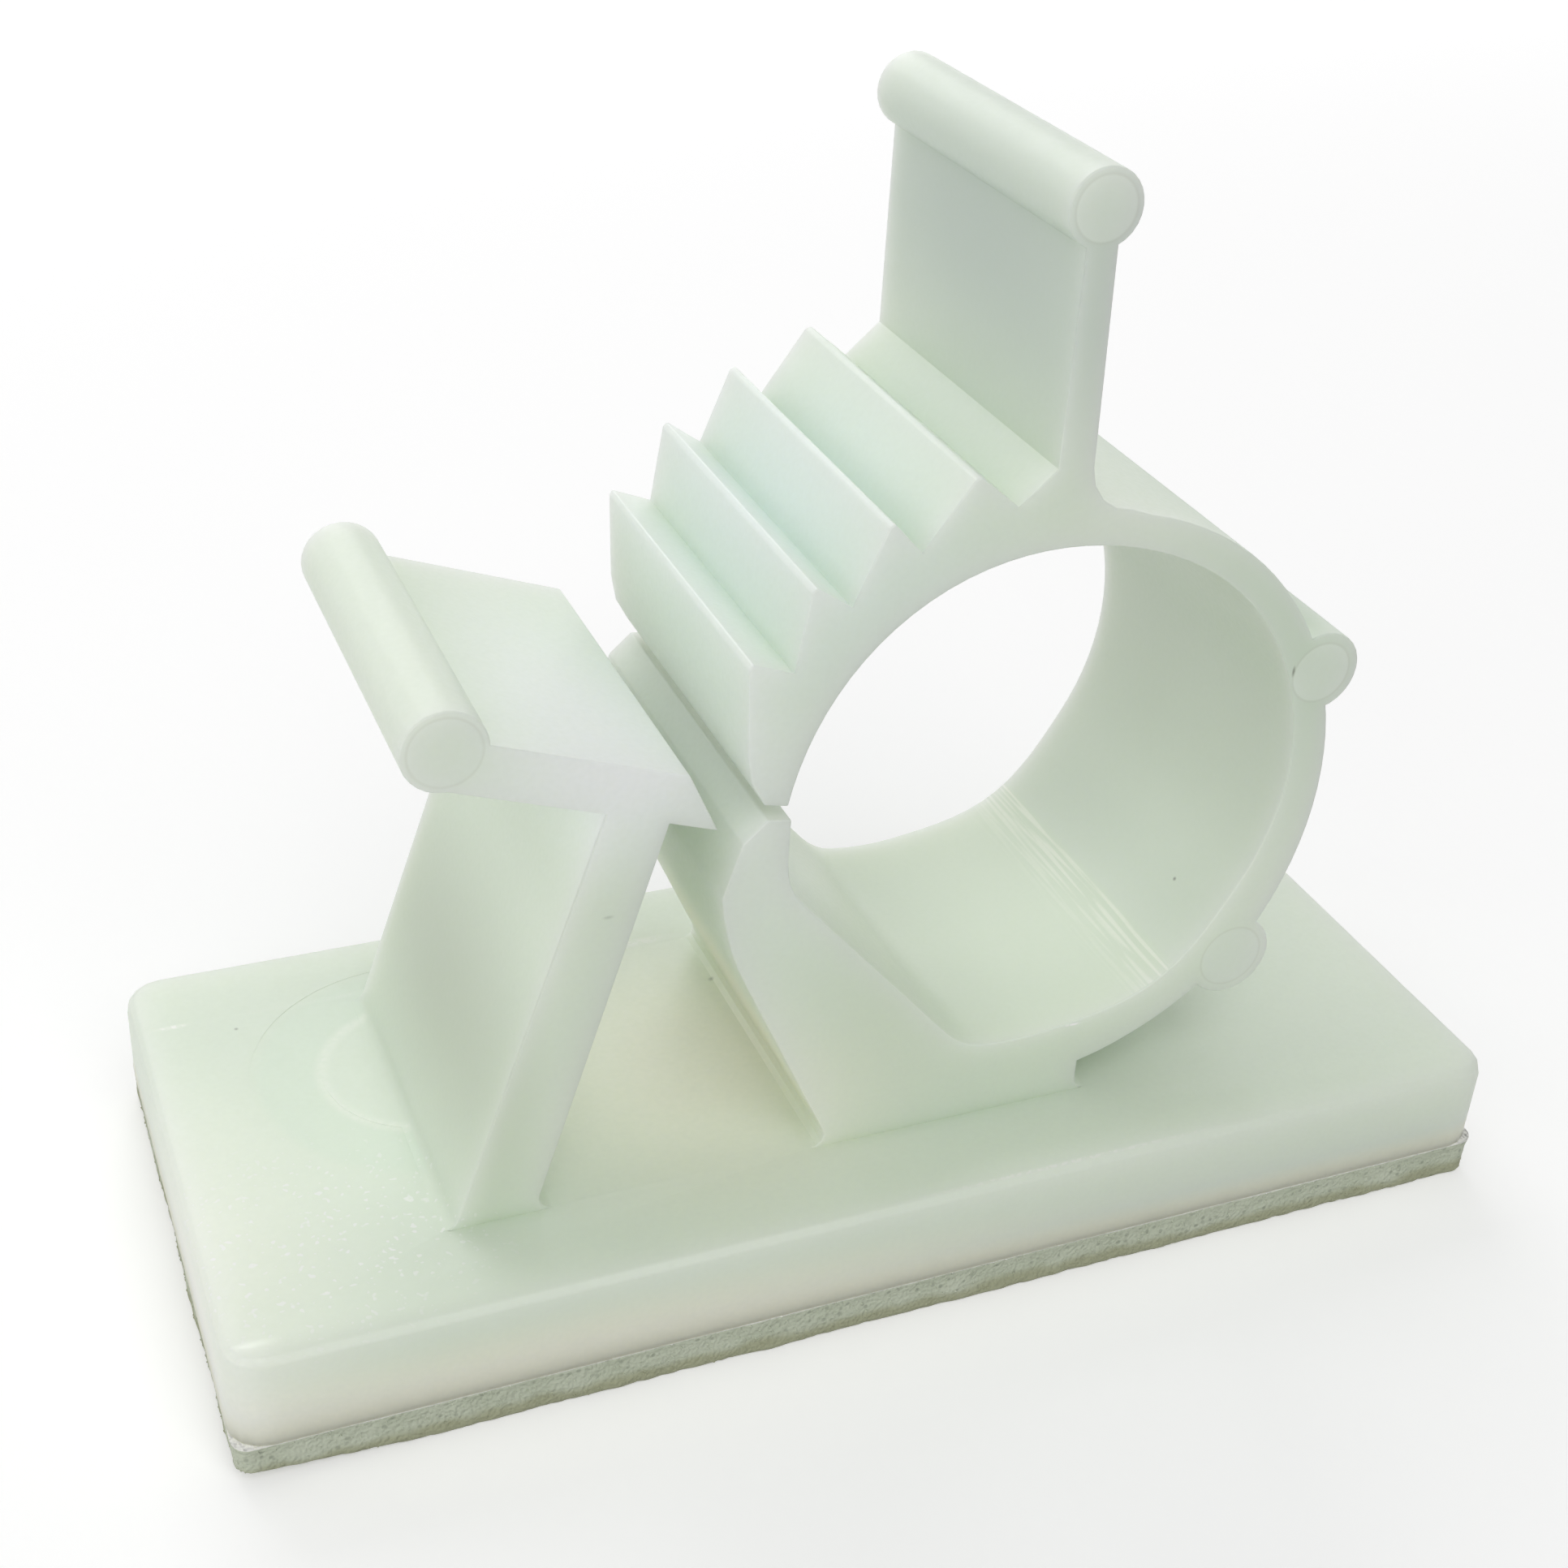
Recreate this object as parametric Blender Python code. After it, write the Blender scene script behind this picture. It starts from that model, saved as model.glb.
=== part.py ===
# Adhesive cable clamp: a nylon moulding with a toothed ring strap and a hook post,
# on a pad of double-sided foam.
#
# Metres, +Z up. The origin is the middle of the adhesive underside, +X runs along the
# base towards the hinged side of the ring, and the bore of the ring lies along Y.

import math

import bmesh
import bpy
from mathutils import Matrix
from mathutils import Vector

# Base plate and foam pad
base_length = 0.0288
base_width = 0.0128
base_thickness = 0.00218
base_corner_radius = 0.0008
base_edge_radius = 0.00035
foam_thickness = 0.00095
foam_corner_radius = 0.0004
bond_gap = 0.0003

# Width along Y of everything that stands on the base
strap_width = 0.0081

# Bore of the ring, measured from the middle of the base top
bore_radius = 0.0058
bore_centre_x = 0.00301
bore_centre_height = 0.00758

# Strap: its wall tapers from the foot of the ring to the finger tab
ring_wall = 0.0012
tab_side_wall = 0.00072
taper_start_angle = math.radians(-36)
taper_end_angle = math.radians(43)
hinge_angle = math.radians(-56)
hinge_half_span = math.radians(26)
hinge_relief = 0.00022

# The toothed arm stands a little outside the round of the bore
arm_angle = math.radians(120)
arm_half_span = math.radians(54)
arm_swell = 0.00018

# Ratchet teeth on the free end of the strap
tooth_count = 4
tooth_height = 0.00088
tooth_pitch = math.radians(13.3)
first_tooth_angle = math.radians(106.6)
tooth_face_lean = math.radians(1.6)
tooth_tip_flat = math.radians(0.9)
first_root_angle = math.radians(101.7)
strap_end_angle = math.radians(168.5)
strap_end_wall = 0.0005
strap_shoulder_angle = math.radians(160)
strap_brow_angle = math.radians(164.6)
strap_brow_wall = 0.0009
closing_gap = 0.0003

# Finger tab on the strap
tab_face_x = 0.00233
tab_root_thickness = 0.00078
tab_end_thickness = 0.00062
tab_bead_x = 0.00263
tab_bead_height = 0.01237
tab_bead_radius = 0.00075
tab_root_height = 0.00752
tab_root_fillet = 0.001

# Stiffening beads beside the thin stretch of the strap, as angle and distance from the bore axis
upper_bead_angle = math.radians(20)
upper_bead_distance = 0.00652
lower_bead_angle = math.radians(-42.3)
lower_bead_distance = 0.00704
upper_bead_radius = 0.0009
lower_bead_radius = 0.00096
bead_inset = 0.0003

# Fixed jaw that the strap closes onto
jaw_face_distance = 0.0056
jaw_slope_distance = 0.00472
jaw_slope_angle = math.radians(48.9)
jaw_blend_radius = 0.0015
jaw_floor_blend_radius = 0.0016
jaw_tip_wall = 0.0005
jaw_brow_angle = math.radians(176)
jaw_brow_wall = 0.0008
jaw_ramp_end_angle = math.radians(186)
jaw_foot_x = -0.0012
pedestal_end_x = 0.00467

# Hook post and its head
post_foot_x = -0.00857
post_foot_thickness = 0.00168
post_lean = math.radians(17.6)
post_draft = math.radians(0.8)
post_height = 0.00951
head_tilt = math.radians(19)
head_thickness = 0.00105
head_tip_reach = 0.00172
head_tip_bevel = 0.001
head_bead_reach = 0.00407
head_bead_rise = 0.00025
head_bead_radius = 0.00083

# Round mould mark in the base top, beside the post
mark_centre_x = -0.0087
mark_centre_y = 0.0013
mark_outer_radius = 0.0037
mark_inner_radius = 0.00215
mark_depth = 0.00012
mark_start_angle = math.radians(89)
mark_end_angle = math.radians(271)

# Details shared by the forms
foot_fillet = 0.0003
root_sink = 0.0006
arc_step = math.radians(4)
fillet_steps = 4
bead_sides = 28
bore_sides = 90
edge_steps = 3
merge_distance = 0.000001
smooth_angle = math.radians(30)

# Heights that follow from the sizes above
base_bottom = foam_thickness
base_top = base_bottom + base_thickness
bore_centre = Vector((bore_centre_x, base_top + bore_centre_height))
ring_outer_radius = bore_radius + ring_wall

# Quarter turn that stands a flat outline up as a side profile, with its depth along Y
upright = Matrix(((1, 0, 0, 0), (0, 0, -1, 0), (0, 1, 0, 0), (0, 0, 0, 1)))


def clear_scene():
    for item in list(bpy.data.objects):
        bpy.data.objects.remove(item, do_unlink=True)


def make_collection(name):
    collection = bpy.data.collections.new(name)
    bpy.context.scene.collection.children.link(collection)
    return collection


def make_material(name, colour, roughness):
    material = bpy.data.materials.new(name)
    material.use_nodes = True
    shader = material.node_tree.nodes["Principled BSDF"]
    shader.inputs["Base Color"].default_value = (*colour, 1.0)
    shader.inputs["Roughness"].default_value = roughness
    shader.inputs["Metallic"].default_value = 0.0
    return material


def polar(radius, angle, centre=bore_centre):
    return centre + Vector((math.cos(angle), math.sin(angle))) * radius


def arc(radius_at, start, end):
    """Points round the bore axis from start to end; radius_at gives the radius at each angle."""
    steps = max(2, math.ceil(abs(end - start) / arc_step))
    angles = [start + (end - start) * step / steps for step in range(steps + 1)]
    return [polar(radius_at(angle), angle) for angle in angles]


def fillet(before, corner, after, radius):
    """Arc of the given radius that rounds the corner between two straight runs."""
    towards_before = (before - corner).normalized()
    towards_after = (after - corner).normalized()
    half_angle = towards_before.angle(towards_after) / 2
    setback = radius / math.tan(half_angle)
    bisector = (towards_before + towards_after).normalized()
    centre = corner + bisector * (radius / math.sin(half_angle))
    start = corner + towards_before * setback - centre
    end = corner + towards_after * setback - centre
    turn = start.angle_signed(end)
    points = []
    for step in range(fillet_steps + 1):
        angle = -turn * step / fillet_steps
        points.append(centre + Matrix.Rotation(angle, 2) @ start)
    return points


def line_meets_line(point_a, direction_a, point_b, direction_b):
    offset = point_b - point_a
    cross = direction_a.x * direction_b.y - direction_a.y * direction_b.x
    distance = (offset.x * direction_b.y - offset.y * direction_b.x) / cross
    return point_a + direction_a * distance


def mesh_object(name, mesh, collection):
    solid = bpy.data.objects.new(name, mesh)
    collection.objects.link(solid)
    return solid


def extrude_outline(name, outline, depth, collection):
    """Closed solid from a flat outline in local XY, centred on local Z."""
    curve = bpy.data.curves.new(name, "CURVE")
    curve.dimensions = "2D"
    curve.fill_mode = "BOTH"
    curve.extrude = depth / 2
    spline = curve.splines.new("POLY")
    spline.points.add(len(outline) - 1)
    for spline_point, point in zip(spline.points, outline):
        spline_point.co = (point.x, point.y, 0.0, 1.0)
    spline.use_cyclic_u = True
    flat = bpy.data.objects.new(name + "_outline", curve)
    collection.objects.link(flat)
    depsgraph = bpy.context.evaluated_depsgraph_get()
    mesh = bpy.data.meshes.new_from_object(flat.evaluated_get(depsgraph))
    bpy.data.objects.remove(flat, do_unlink=True)
    weld(mesh)
    shade(mesh)
    return mesh_object(name, mesh, collection)


def weld(mesh):
    shape = bmesh.new()
    shape.from_mesh(mesh)
    bmesh.ops.remove_doubles(shape, verts=shape.verts, dist=merge_distance)
    bmesh.ops.recalc_face_normals(shape, faces=shape.faces)
    shape.to_mesh(mesh)
    shape.free()


def shade(mesh):
    mesh.shade_smooth()
    mesh.set_sharp_from_angle(angle=smooth_angle)


def join(target, tool, operation):
    """Boolean of tool on target, kept live; the tool becomes a hidden cutter."""
    modifier = target.modifiers.new(tool.name, "BOOLEAN")
    modifier.operation = operation
    modifier.solver = "EXACT"
    modifier.object = tool
    tool.hide_render = True
    tool.display_type = "WIRE"


def rounded_rectangle(length, width, radius):
    corners = [
        Vector((length / 2, width / 2)),
        Vector((-length / 2, width / 2)),
        Vector((-length / 2, -width / 2)),
        Vector((length / 2, -width / 2)),
    ]
    outline = []
    for index, corner in enumerate(corners):
        before = corners[index - 1]
        after = corners[(index + 1) % len(corners)]
        outline += fillet(before, corner, after, radius)
    return outline


def plate(name, thickness, corner_radius, bottom, collection):
    outline = rounded_rectangle(base_length, base_width, corner_radius)
    solid = extrude_outline(name, outline, thickness, collection)
    solid.data.transform(Matrix.Translation((0, 0, bottom + thickness / 2)))
    return solid


def soften_top_edge(solid, radius):
    shape = bmesh.new()
    shape.from_mesh(solid.data)
    top = max(vertex.co.z for vertex in shape.verts)
    rim = []
    for edge in shape.edges:
        at_top = all(abs(vertex.co.z - top) < merge_distance for vertex in edge.verts)
        upright_face = any(abs(face.normal.z) < 0.5 for face in edge.link_faces)
        if at_top and upright_face:
            rim.append(edge)
    bmesh.ops.bevel(
        shape,
        geom=rim,
        offset=radius,
        offset_type="OFFSET",
        segments=edge_steps,
        profile=0.5,
        affect="EDGES",
    )
    shape.to_mesh(solid.data)
    shape.free()
    shade(solid.data)


def rod(name, centre, radius, length, sides, collection):
    """Round rod along Y, centred on the middle of the strap's width."""
    shape = bmesh.new()
    bmesh.ops.create_cone(
        shape,
        cap_ends=True,
        segments=sides,
        radius1=radius,
        radius2=radius,
        depth=length,
    )
    mesh = bpy.data.meshes.new(name)
    shape.to_mesh(mesh)
    shape.free()
    mesh.transform(Matrix.Translation((centre.x, 0.0, centre.y)) @ upright)
    shade(mesh)
    return mesh_object(name, mesh, collection)


def bead(name, centre, radius, collection):
    """Bead whose ends are flush with the faces of the strap."""
    return rod(name, centre, radius, strap_width, bead_sides, collection)


def swell(angle, middle, half_span, height):
    """Smooth rise to height at the middle angle, and nothing outside the half span."""
    share = abs(angle - middle) / half_span
    if share > 1.0:
        return 0.0
    return height * math.cos(share * math.pi / 2) ** 2


def strap_inner_radius(angle):
    """Bore radius, with the shallow relief of the hinge and the set of the toothed arm."""
    relief = swell(angle, hinge_angle, hinge_half_span, hinge_relief)
    return bore_radius + relief + swell(angle, arm_angle, arm_half_span, arm_swell)


def strap_outer_radius(angle):
    """Outside of the strap between its foot and the tab, with the wall's taper."""
    share = (angle - taper_start_angle) / (taper_end_angle - taper_start_angle)
    share = min(max(share, 0.0), 1.0)
    eased = 1.0 - (1.0 - share) ** 2
    return ring_outer_radius + (tab_side_wall - ring_wall) * eased


def jaw_and_bore_points():
    """From the jaw's tip down its inner faces and round the bore to the strap's free end."""
    tip_angle = strap_end_angle + closing_gap / bore_radius
    face_x = bore_centre.x - jaw_face_distance
    tip_inner = Vector((face_x, bore_centre.y + jaw_face_distance * math.tan(math.pi - tip_angle)))
    tip_outer = tip_inner + polar(jaw_tip_wall, tip_angle, Vector((0, 0)))

    slope_normal = Vector((math.sin(jaw_slope_angle), math.cos(jaw_slope_angle)))
    slope_direction = Vector((slope_normal.y, -slope_normal.x))
    slope_point = bore_centre - slope_normal * jaw_slope_distance
    bend = line_meets_line(tip_inner, Vector((0, -1)), slope_point, slope_direction)
    half_chord = math.sqrt(bore_radius**2 - jaw_slope_distance**2)
    slope_end = slope_point + slope_direction * half_chord
    slope_end_angle = math.atan2(slope_end.y - bore_centre.y, slope_end.x - bore_centre.x)
    onward = slope_end + polar(bore_radius, slope_end_angle + math.pi / 2, Vector((0, 0)))
    floor_blend = fillet(bend, slope_end, onward, jaw_floor_blend_radius)
    blend_length = (floor_blend[-1] - slope_end).length

    points = [polar(bore_radius + jaw_brow_wall, jaw_brow_angle), tip_outer, tip_inner]
    points += fillet(tip_inner, bend, slope_end, jaw_blend_radius)
    points += floor_blend[:-1]
    points += arc(strap_inner_radius, slope_end_angle + blend_length / bore_radius, strap_end_angle)
    return points


def toothed_end_points():
    """From the strap's free end back along the ratchet teeth to the root of the tab."""
    root_radius = ring_outer_radius
    tip_radius = root_radius + tooth_height
    points = [
        polar(bore_radius + strap_end_wall, strap_end_angle),
        polar(bore_radius + strap_brow_wall, strap_brow_angle),
        polar(root_radius, strap_shoulder_angle),
    ]
    for tooth in reversed(range(tooth_count)):
        tip_angle = first_tooth_angle + tooth * tooth_pitch
        points.append(polar(tip_radius, tip_angle + tooth_tip_flat))
        points.append(polar(tip_radius, tip_angle))
        if tooth > 0:
            points.append(polar(root_radius, tip_angle - tooth_face_lean))
    points.append(polar(root_radius, first_root_angle))
    return points


def tab_points():
    """Up the toothed side of the finger tab, over its end and down to the strap's thin side."""
    right_x = tab_face_x + tab_root_thickness
    top_z = bore_centre.y + tab_bead_height
    side_radius = bore_radius + tab_side_wall
    half_height = math.sqrt(side_radius**2 - (right_x - bore_centre.x) ** 2)
    foot = Vector((right_x, bore_centre.y + half_height))
    foot_angle = math.atan2(foot.y - bore_centre.y, foot.x - bore_centre.x)
    below_foot = foot + polar(tab_root_fillet, foot_angle - math.pi / 2, Vector((0, 0)))
    top_right = Vector((tab_face_x + tab_end_thickness, top_z))
    points = [
        Vector((tab_face_x, bore_centre.y + tab_root_height)),
        Vector((tab_face_x, top_z)),
        top_right,
    ]
    blend = fillet(top_right, foot, below_foot, tab_root_fillet)
    blend_end = blend[-1] - bore_centre
    return points + blend, math.atan2(blend_end.y, blend_end.x)


def ring_outline():
    """Side profile of the fixed jaw, its pedestal, the strap, the teeth and the tab."""
    sunk = base_top - root_sink
    foot = Vector((jaw_foot_x, base_top))
    from_bore = foot - bore_centre
    foot_distance = from_bore.length
    foot_angle = math.atan2(from_bore.y, from_bore.x) + 2 * math.pi
    tangent_angle = foot_angle - math.acos(ring_outer_radius / foot_distance)
    tangent_point = polar(ring_outer_radius, tangent_angle)
    pedestal_drop = math.sqrt(ring_outer_radius**2 - (pedestal_end_x - bore_centre.x) ** 2)
    pedestal_top = Vector((pedestal_end_x, bore_centre.y - pedestal_drop))
    pedestal_angle = math.atan2(-pedestal_drop, pedestal_end_x - bore_centre.x)
    pedestal_foot = Vector((pedestal_end_x, base_top))

    tab, tab_end_angle = tab_points()
    away = Vector((foot_fillet * 4, 0))
    outline = []
    outline += fillet(tangent_point, foot, foot - away, foot_fillet)[::-1]
    outline += arc(lambda angle: ring_outer_radius, tangent_angle, jaw_ramp_end_angle)
    outline += jaw_and_bore_points()
    outline += toothed_end_points()
    outline += tab
    outline += arc(strap_outer_radius, tab_end_angle, pedestal_angle)[1:-1]
    outline.append(pedestal_top)
    outline += fillet(pedestal_top, pedestal_foot, pedestal_foot + away, foot_fillet)
    outline.append(Vector((outline[-1].x, sunk)))
    outline.append(Vector((outline[0].x, sunk)))
    return outline


def hook_outline():
    """Side profile of the leaning post and the wedge-tipped head that holds the teeth."""
    sunk = base_top - root_sink
    along = Vector((math.cos(head_tilt), -math.sin(head_tilt)))
    up = Vector((math.sin(head_tilt), math.cos(head_tilt)))
    lean = Vector((math.sin(post_lean), math.cos(post_lean)))
    crown = Vector((post_foot_x, base_top)) + lean * (post_height / math.cos(post_lean))
    left_way = Vector((math.sin(post_lean + post_draft), math.cos(post_lean + post_draft)))
    right_way = Vector((math.sin(post_lean - post_draft), math.cos(post_lean - post_draft)))
    left_foot = Vector((post_foot_x - post_foot_thickness / 2, base_top))
    right_foot = Vector((post_foot_x + post_foot_thickness / 2, base_top))
    under = crown - up * (head_thickness / 2)
    over = crown + up * (head_thickness / 2)
    left_top = line_meets_line(left_foot, left_way, under, along)
    right_top = line_meets_line(right_foot, right_way, under, along)
    tip = under + along * head_tip_reach
    away = Vector((foot_fillet * 4, 0))
    outline = []
    outline += fillet(left_top, left_foot, left_foot - away, foot_fillet)[::-1]
    outline.append(left_top)
    outline.append(under - along * head_bead_reach)
    outline.append(over - along * head_bead_reach)
    outline.append(over + along * (head_tip_reach - head_tip_bevel))
    outline.append(tip)
    outline.append(right_top)
    outline += fillet(right_top, right_foot, right_foot + away, foot_fillet)
    outline.append(Vector((outline[-1].x, sunk)))
    outline.append(Vector((outline[0].x, sunk)))
    bead_centre = crown - along * head_bead_reach + up * head_bead_rise
    return outline, bead_centre


def mould_mark(collection):
    """Shallow C-shaped recess in the base top, its open side against the post."""
    centre = Vector((mark_centre_x, mark_centre_y))
    steps = math.ceil((mark_end_angle - mark_start_angle) / arc_step)
    span = mark_end_angle - mark_start_angle
    angles = [mark_start_angle + span * step / steps for step in range(steps + 1)]
    outline = [polar(mark_outer_radius, angle, centre) for angle in angles]
    outline += [polar(mark_inner_radius, angle, centre) for angle in reversed(angles)]
    cutter = extrude_outline("mould_mark", outline, mark_depth * 2, collection)
    cutter.data.transform(Matrix.Translation((0, 0, base_top)))
    return cutter


def build_clamp_body(parts, cutters, material):
    body = plate("clamp_body", base_thickness, base_corner_radius, base_bottom, parts)
    soften_top_edge(body, base_edge_radius)
    join(body, mould_mark(cutters), "DIFFERENCE")

    ring = extrude_outline("ring_and_jaw", ring_outline(), strap_width, cutters)
    ring.data.transform(upright)
    join(body, ring, "UNION")

    profile, head_bead_centre = hook_outline()
    hook = extrude_outline("hook_post", profile, strap_width, cutters)
    hook.data.transform(upright)
    join(body, hook, "UNION")

    tab_bead_centre = Vector((tab_bead_x, bore_centre.y + tab_bead_height))
    upper_bead_centre = polar(upper_bead_distance, upper_bead_angle)
    lower_bead_centre = polar(lower_bead_distance, lower_bead_angle)
    tab_bead = bead("tab_bead", tab_bead_centre, tab_bead_radius, cutters)
    head_bead = bead("head_bead", head_bead_centre, head_bead_radius, cutters)
    upper_bead = bead("upper_bead", upper_bead_centre, upper_bead_radius, cutters)
    lower_bead = bead("lower_bead", lower_bead_centre, lower_bead_radius, cutters)

    # The upper bead is cut back so that it ends inside the strap's wall, clear of the bore
    clear_radius = bore_radius + bead_inset
    clear_bore = rod("clear_bore", bore_centre, clear_radius, base_width, bore_sides, cutters)
    join(upper_bead, clear_bore, "DIFFERENCE")

    join(body, tab_bead, "UNION")
    join(body, head_bead, "UNION")
    join(body, upper_bead, "UNION")
    join(body, lower_bead, "UNION")
    body.data.materials.append(material)


def build_foam_pad(parts, material):
    pad = plate("foam_pad", foam_thickness - bond_gap, foam_corner_radius, 0.0, parts)
    pad.data.materials.append(material)
    return pad


def main():
    clear_scene()
    parts = make_collection("adhesive_cable_clamp")
    cutters = make_collection("cutters")
    nylon = make_material("natural_nylon", (0.72, 0.76, 0.68), 0.38)
    foam = make_material("grey_foam", (0.48, 0.53, 0.50), 0.9)
    build_clamp_body(parts, cutters, nylon)
    build_foam_pad(parts, foam)


main()
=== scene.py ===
# %% [markdown]
# # A cable clamp of natural nylon on adhesive foam
#
# The object is one small moulding, about 29 mm long. A base plate carries a ring strap
# with ratchet teeth and a post with a hooked head. Below the plate is a strip of
# double-sided foam. The solids come from the CAD part, so this lesson is about edges,
# surfaces, light and the camera. Every length is in metres and Z is up.

import math

import bmesh
import bpy
from mathutils import Matrix
from mathutils import Vector
from mathutils import noise


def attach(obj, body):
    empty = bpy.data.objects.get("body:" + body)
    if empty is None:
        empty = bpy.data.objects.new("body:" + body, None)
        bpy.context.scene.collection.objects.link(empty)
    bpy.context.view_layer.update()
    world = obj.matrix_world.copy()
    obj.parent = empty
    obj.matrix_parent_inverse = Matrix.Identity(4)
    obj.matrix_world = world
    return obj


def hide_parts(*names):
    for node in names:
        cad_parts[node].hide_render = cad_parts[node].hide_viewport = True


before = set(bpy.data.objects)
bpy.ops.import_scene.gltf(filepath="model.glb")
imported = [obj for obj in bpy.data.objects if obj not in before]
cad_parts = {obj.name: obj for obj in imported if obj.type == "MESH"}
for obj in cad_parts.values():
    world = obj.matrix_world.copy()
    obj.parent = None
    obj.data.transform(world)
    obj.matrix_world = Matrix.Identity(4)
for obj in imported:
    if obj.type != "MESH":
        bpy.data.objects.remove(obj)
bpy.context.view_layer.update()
for name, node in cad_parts.items():
    print(name, "has", len(node.data.polygons), "triangles")

# %% [markdown]
# ## Small helpers for node trees
#
# Materials and Geometry Nodes are both trees of nodes. A helper that adds a node, one that
# feeds a socket with a link or a plain value, and one for arithmetic keep each tree short
# enough to read as a recipe.

# %% Helpers that add and join nodes
def put(tree, kind, **settings):
    """A new node with its settings, laid out after the ones before it."""
    count = len(tree.nodes)
    node = tree.nodes.new(kind)
    node.location = (210 * (count % 10), -260 * (count // 10))
    for name, value in settings.items():
        setattr(node, name, value)
    return node


def feed(tree, socket, value):
    """Link value into the socket, or write it there if it is a plain number or vector."""
    if isinstance(value, bpy.types.NodeSocket):
        tree.links.new(value, socket)
    else:
        socket.default_value = value


def calc(tree, operation, *values):
    """Arithmetic on numbers; returns the result's socket."""
    node = put(tree, "ShaderNodeMath", operation=operation)
    for socket, value in zip(node.inputs, values):
        feed(tree, socket, value)
    return node.outputs[0]


def vector_calc(tree, operation, *values):
    """Arithmetic on vectors; returns the vector, or the number where the result is one."""
    node = put(tree, "ShaderNodeVectorMath", operation=operation)
    for socket, value in zip(node.inputs, values):
        feed(tree, socket, value)
    gives_number = operation in ("LENGTH", "DOT_PRODUCT", "DISTANCE")
    return node.outputs["Value" if gives_number else "Vector"]


def split(tree, vector):
    """The X, Y and Z outputs of a vector."""
    node = put(tree, "ShaderNodeSeparateXYZ")
    feed(tree, node.inputs[0], vector)
    return node.outputs


def new_group(name, kind, inputs, outputs):
    """A node group with named inputs and outputs; returns the tree and its two end nodes."""
    tree = bpy.data.node_groups.new(name, kind)
    for label, (socket_type, default) in inputs.items():
        socket = tree.interface.new_socket(
            name=label, in_out="INPUT", socket_type=socket_type
        )
        if default is not None:
            socket.default_value = default
    for label, socket_type in outputs.items():
        tree.interface.new_socket(name=label, in_out="OUTPUT", socket_type=socket_type)
    return tree, put(tree, "NodeGroupInput"), put(tree, "NodeGroupOutput")


def use_group(tree, group, **values):
    """Place a group in a tree. A keyword names an input, with _ where the name has a space."""
    kind = "GeometryNodeGroup" if group.bl_idname == "GeometryNodeTree" else "ShaderNodeGroup"
    node = put(tree, kind)
    node.node_tree = group
    for label, value in values.items():
        feed(tree, node.inputs[label.replace("_", " ")], value)
    return node


NUMBER = "NodeSocketFloat"
VECTOR = "NodeSocketVector"
GEOMETRY = "NodeSocketGeometry"
MATERIAL = "NodeSocketMaterial"

# %% [markdown]
# ## The places that the finishes refer to
#
# The same few sizes that drew the CAD part place the teeth, the round bead ends and the
# marks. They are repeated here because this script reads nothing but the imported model. Two
# heights count as one within same_height, and points within weld_distance are merged.

# %% Named sizes and places
base_top = 0.00313
base_half_length = 0.0144
base_half_width = 0.0064
foam_height = 0.00095
strap_half_width = 0.00405
bore_centre = Vector((0.00301, 0.0, 0.01071))
root_radius = 0.007
tooth_height = 0.00088
first_tooth_angle = math.radians(106.6)
tooth_pitch = math.radians(13.3)
first_front_reach = math.radians(4.9)
front_reach = math.radians(1.6)
flank_reach = math.radians(11.7)
last_flank_reach = math.radians(13.5)
tip_flat = math.radians(0.9)
tooth_count = 4
mark_centre = Vector((-0.0087, 0.0013, base_top))
mark_inner_radius = 0.00215
mark_outer_radius = 0.0037
mark_depth = 0.00012
same_height = 0.00001
weld_distance = 0.000001
print("bore centre", tuple(bore_centre), "tooth tips at", root_radius + tooth_height)

# %% [markdown]
# ## The moulding
#
# The real clamp comes out of its mould in one shot, so every edge has a small radius. A CAD
# solid has knife edges, and those never catch light. The way here is to take a copy of the
# CAD mesh, merge its loose triangles, melt the flat ones into whole faces, and let a Bevel
# round only the true edges. Sculpting or remeshing could do it too, but would blur the
# straight walls.

# %% Copy the CAD moulding and merge its triangles
eased_mark_depth = 0.00001
flat_angle = math.radians(0.4)


def merged_copy(name, node_name):
    """A welded copy of a CAD node, with its flat stretches made into single faces."""
    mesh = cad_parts[node_name].data.copy()
    mesh.name = name
    mesh.materials.clear()
    for attribute in list(mesh.attributes):
        if attribute.name in ("custom_normal", "sharp_face"):
            mesh.attributes.remove(attribute)
    shape = bmesh.new()
    shape.from_mesh(mesh)
    ease_mould_mark(shape)
    bmesh.ops.remove_doubles(shape, verts=shape.verts, dist=weld_distance)
    melt_flat_faces(shape)
    shape.to_mesh(mesh)
    shape.free()
    copy = bpy.data.objects.new(name, mesh)
    bpy.context.scene.collection.objects.link(copy)
    return copy


def ease_mould_mark(shape):
    """Raise the floor of the round mark, because milky nylon hides most of its depth."""
    for vertex in shape.verts:
        if abs(vertex.co.z - (base_top - mark_depth)) < same_height:
            vertex.co.z = base_top - eased_mark_depth


def melt_flat_faces(shape):
    """Join triangles that lie in one plane into whole faces."""
    bmesh.ops.dissolve_limit(
        shape,
        angle_limit=flat_angle,
        use_dissolve_boundaries=False,
        verts=shape.verts,
        edges=shape.edges,
    )


moulding = merged_copy("nylon_moulding", "clamp_body")
print("moulding copy:", len(moulding.data.polygons), "faces")

# %% [markdown]
# ### Ratchet teeth
#
# Four saw teeth stand on the outside of the arm, one every 13.3 degrees round the bore. The
# first has a longer front and the last a longer flank, as the arm goes on there. What
# repeats by a rule is a job for Geometry Nodes: one tooth is drawn from its corners, and
# instances turn it round the bore. First the CAD teeth in the copy are pressed down to the
# round of the arm, so that the new ones stand on a plain root.

# %% Press the copied teeth flat
toothed_arm = (103.0, 159.5)
press_depth = 0.00005


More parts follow.
